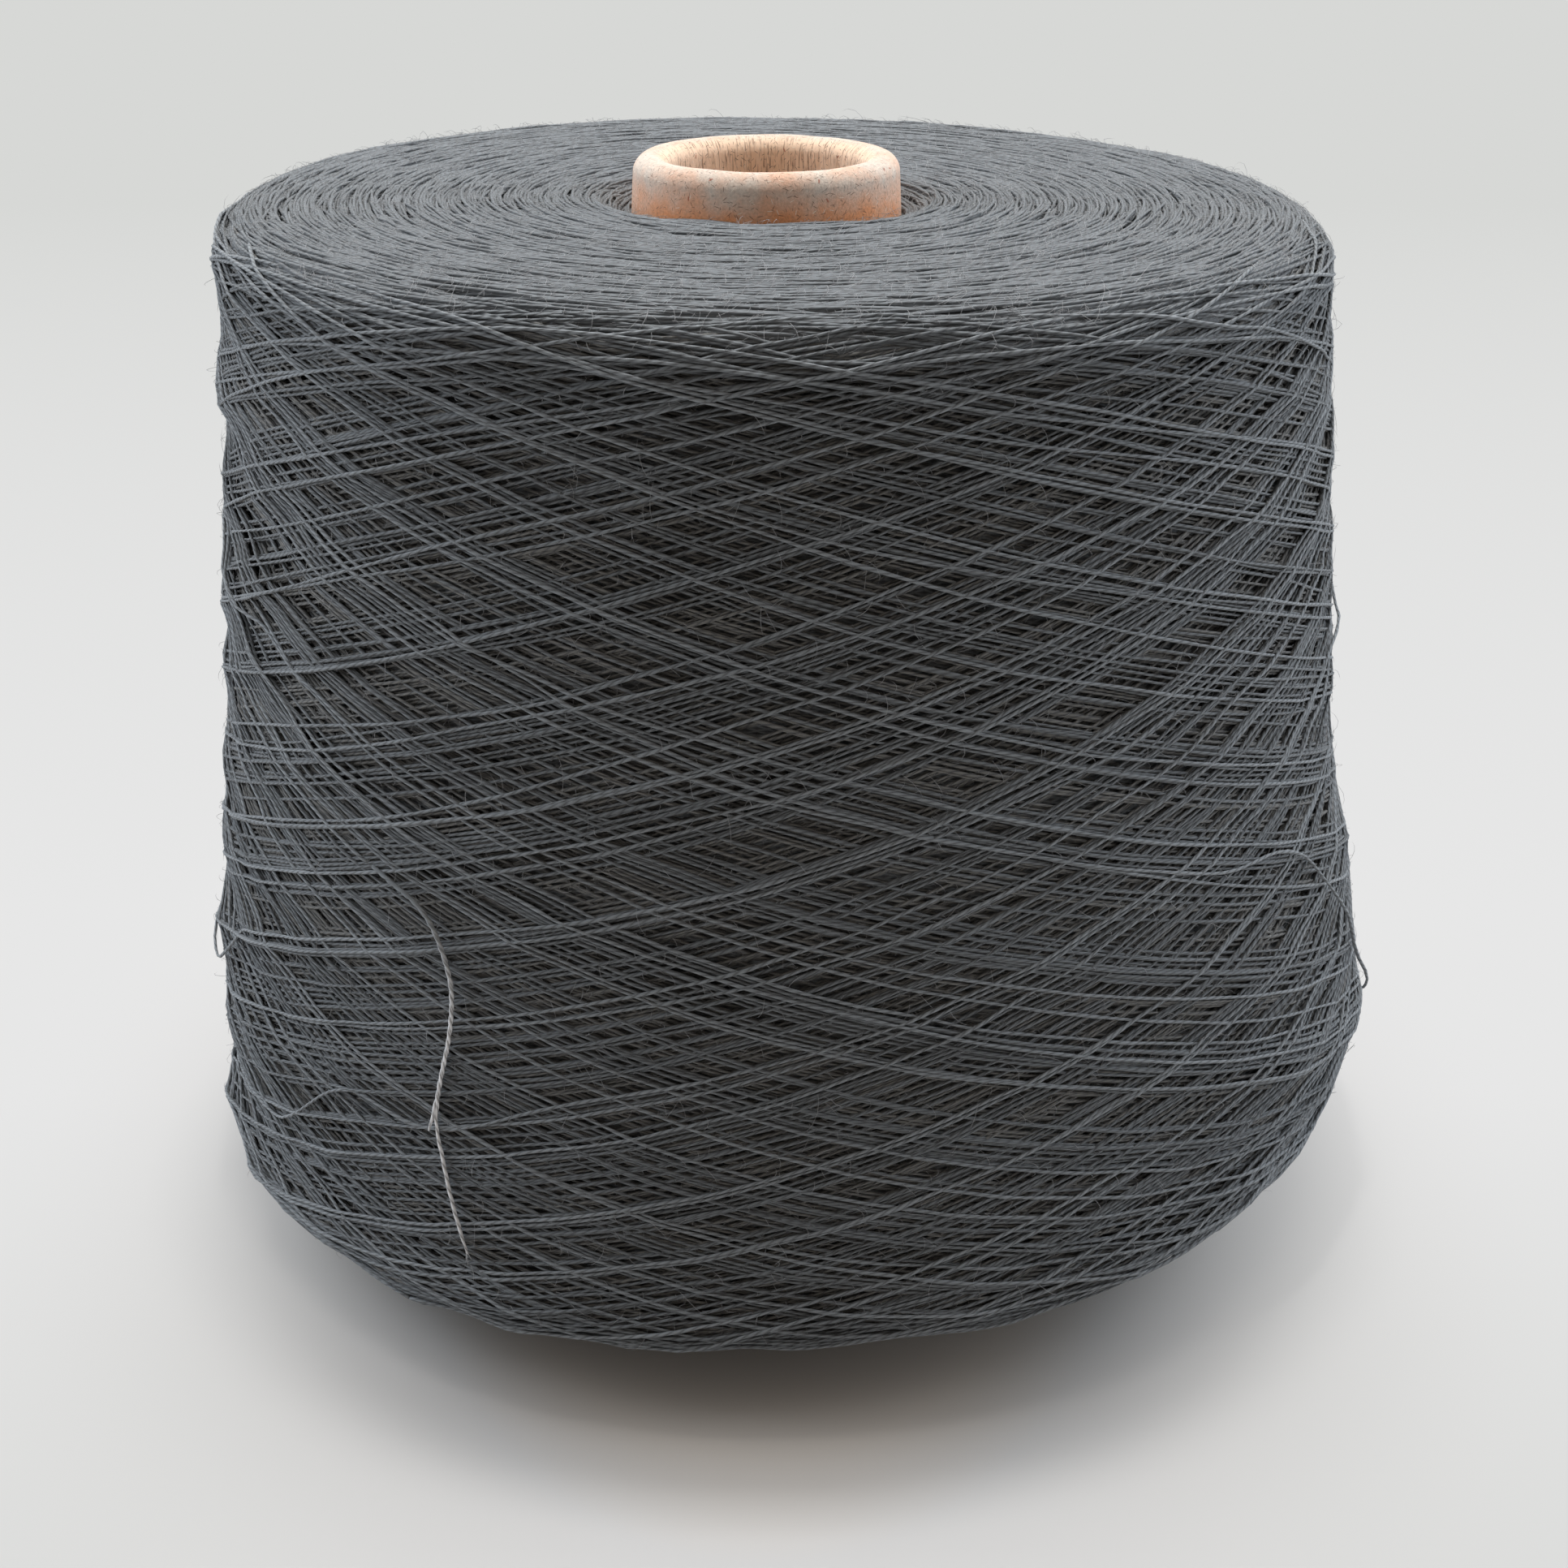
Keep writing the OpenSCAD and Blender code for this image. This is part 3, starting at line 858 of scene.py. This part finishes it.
class YARNCONE_OT_paper_cone(bpy.types.Operator):
    """Build the paper cone with its rolled nose"""

    bl_idname = "yarncone.paper_cone"
    bl_label = "Paper cone"

    def execute(self, context):
        p, finish = choices(context)
        lip = p.lip_width / 2
        lip_z = CONE_HIGH.z - lip
        throat = p.nose_diameter / 2 - p.lip_width
        hem_z = lip_z - p.throat_length
        edge = 0.6 * MM
        base = cone_radius(p, 0)
        wall_z = np.linspace(edge, lip_z, 60)[1:-1]
        inner_z = np.linspace(hem_z - 0.8 * MM, edge, 50)[1:-1]
        outline = (
            arc((base - edge, edge), edge, -90, 0, 5)
            + [(cone_radius(p, z), z) for z in wall_z]
            + arc((p.nose_diameter / 2 - lip, lip_z), lip, 0, 180, 28)
            + [(throat, z) for z in np.linspace(lip_z, hem_z, 16)[1:]]
            + [(throat + 0.4 * MM, hem_z - 0.8 * MM)]
            + [(cone_radius(p, z) - p.wall, z) for z in inner_z]
            + arc((base - p.wall + edge, edge), edge, 180, 270, 5)
        )
        edit = spun(outline, 216, closed=True)
        for vertex in edit.verts:
            vertex.co += self.unevenness(p, vertex.co, lip_z)
        piece = new_piece("paper_cone_board", edit)
        own(piece, kraft_board("recycled kraft board", finish, lip_z), "paper", "paper_cone")
        return {"FINISHED"}

    @staticmethod
    def unevenness(p, place, lip_z):
        """Soft waves in the lip, and crimps down the throat where the board was turned in."""
        out = Vector((place.x, place.y, 0)).normalized()
        radius = math.hypot(place.x, place.y)
        outer = radius > p.nose_diameter / 2 - p.lip_width / 2

        def waves(around, up):
            return noise.noise(Vector((out.x * around, out.y * around, place.z * up)))

        near_nose = min(max((place.z - lip_z + 10 * MM) / (10 * MM), 0), 1)
        moved = out * waves(2.2, 60) * 0.16 * MM * near_nose
        if outer:
            moved += out * 0.3 * MM * near_nose
        elif place.z > lip_z - p.throat_length - 1 * MM:
            fade = min(max((lip_z + 1.5 * MM - place.z) / (3 * MM), 0), 1)
            moved += out * (waves(14, 90) * 0.34 + waves(34, 220) * 0.16) * MM * fade
        if place.z > lip_z:
            moved.z += noise.noise(place * 170) * 0.10 * MM
        return moved


class YARNCONE_OT_wound_body(bpy.types.Operator):
    """Build the body of wound yarn under the outermost strands"""

    bl_idname = "yarncone.wound_body"
    bl_label = "Wound body"

    def execute(self, context):
        p, finish = choices(context)
        package, _, _ = wound()
        under = np.interp(package.way, [0, *package.side, package.way[-1]],
                          [-1.0 * MM, -p.strand_depth, -p.strand_depth, -0.9 * MM])
        kept = np.unique(np.append(np.arange(0, package.rows, 5), package.rows - 1))
        radii = (package.r + under * package.normal_r)[kept]
        levels = (package.z + under * package.normal_z)[kept]
        inner = [(cone_radius(p, z) + 0.1 * MM, z) for z in np.linspace(levels[-1], levels[0], 24)]
        edit = spun([*zip(radii, levels), *inner], 120, closed=True)
        for vertex in edit.verts:
            x, y, z = vertex.co
            vertex.co = uneven(math.atan2(y, x), math.hypot(x, y), z)
        piece = new_piece("wound_body", edit)
        material = wound_yarn("wound yarn body", finish.yarn, finish.yarn_groove_shade)
        own(piece, material, "yarn", "yarn_package")
        return {"FINISHED"}


class YARNCONE_OT_windings(bpy.types.Operator):
    """Wind the strands of the package's side, cover on cover"""

    bl_idname = "yarncone.windings"
    bl_label = "Windings"

    def execute(self, context):
        p, finish = choices(context)
        package, _, lines = wound()
        rng = np.random.default_rng(p.seed + 3)
        for name, _, _, _, _, _, _, spacing, sides, shade in COVERS:
            # the inner covers, painted darker, also take the warmer inner yarn colour as painted warm
            # shade
            colour = finish.yarn if shade > 0.9 else finish.yarn_inner_shaded
            # each cover's shade: painted shade below 1 on the deep covers, painted light above 1 on the
            # outer ones
            material = spun_yarn("yarn of " + name, colour, finish.yarn_groove_shade, p.ply_pitch, shade=shade)
            angle, way, height = lines[name]
            every = max(int(round(spacing * MM / (2 * math.pi * MEAN_RADIUS / COLUMNS))), 1)
            kept = np.append(np.arange(0, len(angle) - 1, every), len(angle) - 1)
            line = package.point(angle[kept], way[kept], height[kept])
            width = 1 + np.clip(rng.normal(0, 0.12, len(kept)), -0.22, 0.25)
            line, width = capped(line, width)
            piece = tubes(name, [line], p.yarn_diameter / 2 * p.core, sides, [width])
            own(piece, material, "yarn", "outer_winding")
        return {"FINISHED"}


class YARNCONE_OT_end_turns(bpy.types.Operator):
    """Lay the turns in which the strands come up to the end faces and go down again"""

    bl_idname = "yarncone.end_turns"
    bl_label = "End turns"

    def execute(self, context):
        p, finish = choices(context)
        package, _, _ = wound()
        rng = np.random.default_rng(p.seed + 1)
        # the end turns take a shade of 0.97, a painted factor on the yarn's lightness like the covers'
        # one, a little darker as painted shade
        material = spun_yarn("yarn of end turns", finish.yarn, finish.yarn_end_groove_shade, p.ply_pitch,
                             relief=0.2, shade=0.97)
        last = package.way[-1]
        spans = (("end_turns_top_1", package.side[1] + 2 * MM, last - 0.3 * MM, 4300),
                 ("end_turns_top_2", package.side[1] + 2 * MM, last - 0.3 * MM, 4300),
                 ("end_turns_bottom", 0.4 * MM, package.side[0] - 3 * MM, 2600))
        for name, low, high, count in spans:
            ways, radii = package.places(rng, low, high, count)
            one_each = ways.shape
            share = np.linspace(-1, 1, 7)
            spread = np.minimum(rng.uniform(7, 20, one_each) * MM / radii, 0.5)
            angle = rng.uniform(0, 2 * math.pi, one_each) + spread * share
            lean = rng.normal(0, 0.7, one_each) * MM
            bow = rng.normal(0, 0.35, one_each) * MM
            way = ways + lean * share + bow * share**2
            top = rng.uniform(-0.8, 0.0, one_each) * MM
            height = top - rng.uniform(0.5, 1.2, one_each) * MM * share**2
            lines = package.point(angle, np.clip(way, 0, last), height)
            width = np.tile([0, 1, 1, 1, 1, 1, 0], (len(ways), 1))
            piece = tubes(name, list(lines), p.yarn_diameter / 2 * p.core, 4, width)
            own(piece, material, "yarn", "outer_winding")
        return {"FINISHED"}


class YARNCONE_OT_fuzz(bpy.types.Operator):
    """Scatter the single fibres that stand out of the yarn"""

    bl_idname = "yarncone.fuzz"
    bl_label = "Fuzz"

    def execute(self, context):
        p, finish = choices(context)
        package, heights, _ = wound()
        rng = np.random.default_rng(p.seed + 2)
        material = loose_fibre("loose fibre", finish.fibre)
        low, high = package.side
        all_round, on_top = (low - 7 * MM, high + 9 * MM), (high + 2 * MM, package.way[-1] - 1 * MM)
        # piece, where it starts and ends, fibres, points in one, mean length in mm, scatter in
        # radians, and lift in mm
        spans = (("fuzz_side_short", *all_round, 19000, 3, 1.0, 0.7, 0.35),
                 ("fuzz_side_long", *all_round, 6600, 5, 2.9, 0.8, 0.6),
                 ("fuzz_top_short", *on_top, 8000, 3, 1.3, 1.0, 0.4),
                 ("fuzz_top_long", *on_top, 6500, 5, 3.0, 0.9, 0.55),
                 ("fuzz_bottom", 1 * MM, low - 3 * MM, 2500, 4, 2.6, 0.8, 0.55))
        for name, start, end, count, points, reach, scatter, lift in spans:
            ways, radii = package.places(rng, start, end, count)
            one_each = (count, 1)
            middle = rng.uniform(0, 2 * math.pi, one_each)
            column = (middle / (2 * math.pi) * COLUMNS).astype(int) % COLUMNS
            row = np.clip((ways / CELL).astype(int), 0, package.rows - 1)
            on_side = (ways > low) & (ways < high)
            ground = np.where(on_side, heights[column, row], -0.15 * MM)
            lean = np.where(rng.uniform(0, 1, one_each) < 0.5, 1, -1) * np.where(on_side, 0.3, 0.05)
            lean = lean + rng.normal(0, scatter, one_each)
            fibre = rng.gamma(4.0, reach / 4, one_each) * MM
            share = np.linspace(0, 1, points)
            course = lean + rng.normal(0, 1.4, one_each) * share
            step = fibre * np.diff(share, prepend=0)
            angle = middle + np.cumsum(np.cos(course) * step, axis=1) / radii
            way = ways + np.cumsum(np.sin(course) * step, axis=1)
            arch = rng.gamma(2.0, lift / 2, one_each) * MM
            height = ground - 0.05 * MM + arch * np.sin(rng.uniform(1.2, 3.3, one_each) * share)
            lines = package.point(angle, np.clip(way, 0, package.way[-1]), height)
            width = np.tile([1] * (points - 2) + [0.8, 0], (count, 1))
            # real fibres are 0.02 mm thick: these are 0.06 mm, so that they show
            piece = tubes(name, list(lines), 0.03 * MM, 3, width)
            own(piece, material, "yarn")
        return {"FINISHED"}


class YARNCONE_OT_loose_end(bpy.types.Operator):
    """Hang the yarn's loose outer end along the side"""

    bl_idname = "yarncone.loose_end"
    bl_label = "Loose end"

    def execute(self, context):
        p, finish = choices(context)
        path = smooth_path(tail_route(p), 10)
        along = running(np.linalg.norm(np.diff(path, axis=0), axis=1))
        length = float(along[-1])
        tangent = np.gradient(path, axis=0)
        tangent /= np.linalg.norm(tangent, axis=1)[:, None]
        outwards = path * (1, 1, 0)
        outwards /= np.linalg.norm(outwards, axis=1)[:, None]
        across = np.cross(tangent, outwards)
        turn = 2 * math.pi * along / p.ply_pitch
        # the shorter ply ends here and stands off, and the other one goes on alone
        split = TAIL_SPLIT * MM
        apart = 0.2 * p.yarn_diameter * np.clip((split - along) / (6 * MM) + 0.25, 0.25, 1)
        ring = np.cos(turn)[:, None] * across + np.sin(turn)[:, None] * outwards
        long_ply = path + ring * apart[:, None]
        short = along < split
        away = np.clip((along - split) / (7 * MM) + 1, 0, 1) ** 2 * 1.1 * MM
        short_ply = path - ring * apart[:, None] + (outwards * 0.5 + across) * away[:, None]
        short_ply = short_ply[short]
        thin = 1 + 0.2 * np.clip((along - split) / (3 * MM), 0, 1)
        thin -= 0.6 * np.clip((along - length) / (4 * MM) + 1, 0, 1)
        thin_short = 1 - 0.5 * np.clip((along[short] - split) / (2 * MM) + 1, 0, 1)
        plies = [capped(long_ply, thin), capped(short_ply, thin_short)]
        wisps = [self.wisp(path[-1], tangent[-1], across[-1], outwards[-1], *wisp) for wisp in WISPS]
        lines = [ply[0] for ply in plies] + [line for line, _ in wisps]
        widths = [ply[1] for ply in plies] + [width for _, width in wisps]
        piece = tubes("yarn_end", lines, 0.5 * p.yarn_diameter, 6, widths)
        material = spun_yarn("two-ply yarn, worn end", finish.tail, finish.fibre, p.ply_pitch,
                             plain=finish.yarn)
        own(piece, material, "yarn", "yarn_tail")
        return {"FINISHED"}

    @staticmethod
    def wisp(tip, tangent, across, outwards, length, aside, out, thickness):
        """A tuft of fibres at the frayed tip: its length, its spread, and its share of a ply."""
        share = np.linspace(0, 1, 6)[:, None]
        start = tip - tangent * 1.5 * MM
        line = start + tangent * length * MM * share + (across * aside + outwards * out) * MM * share**2
        return capped(line, thickness * (1 - 0.7 * share[:, 0]))


def tail_route(p):
    """Points of the loose end's course down the side of the package."""
    degrees, drop, lift = np.array(TAIL_ROUTE).T
    angle = p.tail_angle + np.radians(degrees)
    z = p.tail_height - drop * MM
    r = package_radius(p, z) + lift * MM
    return np.stack([r * np.cos(angle) + OFF_CENTRE, r * np.sin(angle), z], axis=-1)


def smooth_path(points, steps):
    """A smooth line through points, with steps stretches between two of them."""
    padded = np.vstack([points[:1], points, points[-1:]])
    line = []
    for a, b, c, d in zip(padded, padded[1:], padded[2:], padded[3:]):
        for t in np.arange(steps) / steps:
            line.append(b + 0.5 * t * ((c - a) + t * ((2 * a - 5 * b + 4 * c - d)
                                                      + t * (3 * (b - c) + d - a))))
    return np.array(line + [points[-1]])


# ---- Stage ----


class YARNCONE_OT_stage(bpy.types.Operator):
    """Set the floor, the lights and the camera"""

    bl_idname = "yarncone.stage"
    bl_label = "Stage"

    def execute(self, context):
        scene = context.scene
        self.floor(scene.yarn_cone_finish)
        self.lights(scene)
        camera = linked("camera", bpy.data.cameras.new("camera"))
        camera.location = CAMERA_PLACE
        camera.rotation_euler = (math.radians(CAMERA_TILT), 0, 0)
        camera.data.lens = camera.data.sensor_width * FOCAL_LENGTH
        camera.data.clip_start = 0.01
        scene.camera = camera
        scene.view_settings.view_transform = "Standard"
        return {"FINISHED"}

    @staticmethod
    def floor(finish):
        """A paper sweep: flat under the cone, then up in a wide curve behind it."""
        edit = bmesh.new()
        outline = [(-2.5, 0)] + [(2.0 + r, z) for r, z in arc((0, 1.0), 1.0, -90, 0, 24)] + [(3.0, 3.0)]
        corners = [edit.verts.new((-3.5, y, z)) for y, z in outline]
        edges = [edit.edges.new(pair) for pair in zip(corners, corners[1:])]
        moved = bmesh.ops.extrude_edge_only(edit, edges=edges)["geom"]
        moved = [vertex for vertex in moved if isinstance(vertex, bmesh.types.BMVert)]
        bmesh.ops.translate(edit, verts=moved, vec=(7.0, 0, 0))
        bmesh.ops.recalc_face_normals(edit, faces=edit.faces)
        piece = new_piece("floor", edit)
        look = Look("paper sweep")
        path = look.add("LightPath").outputs
        seen = look.math("MAXIMUM", path["Is Camera Ray"], path["Is Glossy Ray"])
        seen = look.math("MAXIMUM", seen, path["Is Transmission Ray"])
        place = look.place()
        distance = look.size(look.vector("MULTIPLY", place, (2.05, 1, 0)))
        far = look.ramp(distance, 0.11, 0.285, interpolation_type="SMOOTHSTEP")
        glow = look.math("MULTIPLY", far, seen)
        # painted light: close round the cone the floor takes a lighter, warmer colour, which lightens
        # and warms the shadow as bounced light would
        floor = look.mix(look.ramp(distance, 0.106, 0.13), finish.floor_near_warm_light, finish.floor)
        near = look.mix(seen, finish.floor_bounce, floor)
        y = look.split(place)[1]
        ends = look.math("ADD", look.ramp(y, 0, -0.2), look.ramp(y, 0.08, 0.9))
        backdrop = look.mix(ends, finish.backdrop_near, finish.backdrop_far)
        piece.data.materials.append(look.finished(
            Base_Color=look.mix(glow, near, (0, 0, 0, 1)), Emission_Strength=glow,
            Emission_Color=backdrop, Roughness=1, Specular_IOR_Level=0))

    @staticmethod
    def lights(scene):
        """A wide soft light and a small one above, two at the sides, and a dim room."""
        world = bpy.data.worlds.new("room")
        scene.world = world
        world.use_nodes = True
        background = world.node_tree.nodes["Background"]
        background.inputs[0].default_value = linear("#FFF2E5")
        background.inputs[1].default_value = 0.29
        for name, place, size, power, tint in (
            ("light_above", (0, 0.42, 1.25), (1.3, 0.9), 11.5, "#FFFDFA"),
            ("light_high", (0, 0.13, 1.3), (0.14, 0.09), 6.5, "#FFFDFA"),
            ("light_left", (-1.1, 0.32, 0.55), (1.2, 1.1), 14.5, "#ECF5FF"),
            ("light_right", (1.1, 0.32, 0.55), (1.2, 1.1), 14, "#ECF5FF"),
        ):
            lamp = bpy.data.lights.new(name, "AREA")
            lamp.shape = "RECTANGLE"
            lamp.size, lamp.size_y = size
            lamp.energy = power
            lamp.color = linear(tint)[:3]
            holder = linked(name, lamp)
            holder.location = place
            downwards = Vector((0, 0, 0.1)) - Vector(place)
            holder.rotation_euler = downwards.to_track_quat("-Z", "Y").to_euler()


OPERATORS = (
    YARNCONE_OT_stage,
    YARNCONE_OT_loose_end,
    YARNCONE_OT_paper_cone,
    YARNCONE_OT_wound_body,
    YARNCONE_OT_windings,
    YARNCONE_OT_end_turns,
    YARNCONE_OT_fuzz,
)


class YARNCONE_PT_panel(bpy.types.Panel):
    """Lists the steps that build the cone of yarn"""

    bl_idname = "YARNCONE_PT_panel"
    bl_label = "Yarn Cone"
    bl_space_type = "VIEW_3D"
    bl_region_type = "UI"
    bl_category = "Yarn Cone"

    def draw(self, context):
        for group in choices(context):
            box = self.layout.box()
            for key in group.__annotations__:
                box.prop(group, key)
        for operator in OPERATORS:
            self.layout.operator(operator.bl_idname)


CLASSES = (YarnConeSizes, YarnConeFinish, *OPERATORS, YARNCONE_PT_panel)


def register():
    for cls in CLASSES:
        bpy.utils.register_class(cls)
    bpy.types.Scene.yarn_cone_sizes = bpy.props.PointerProperty(type=YarnConeSizes)
    bpy.types.Scene.yarn_cone_finish = bpy.props.PointerProperty(type=YarnConeFinish)


def unregister():
    del bpy.types.Scene.yarn_cone_finish
    del bpy.types.Scene.yarn_cone_sizes
    for cls in reversed(CLASSES):
        bpy.utils.unregister_class(cls)


def main():
    register()
    for step in ("stage", "loose_end", "paper_cone", "wound_body", "windings", "end_turns", "fuzz"):
        getattr(bpy.ops.yarncone, step)()


if __name__ == "__main__":
    main()
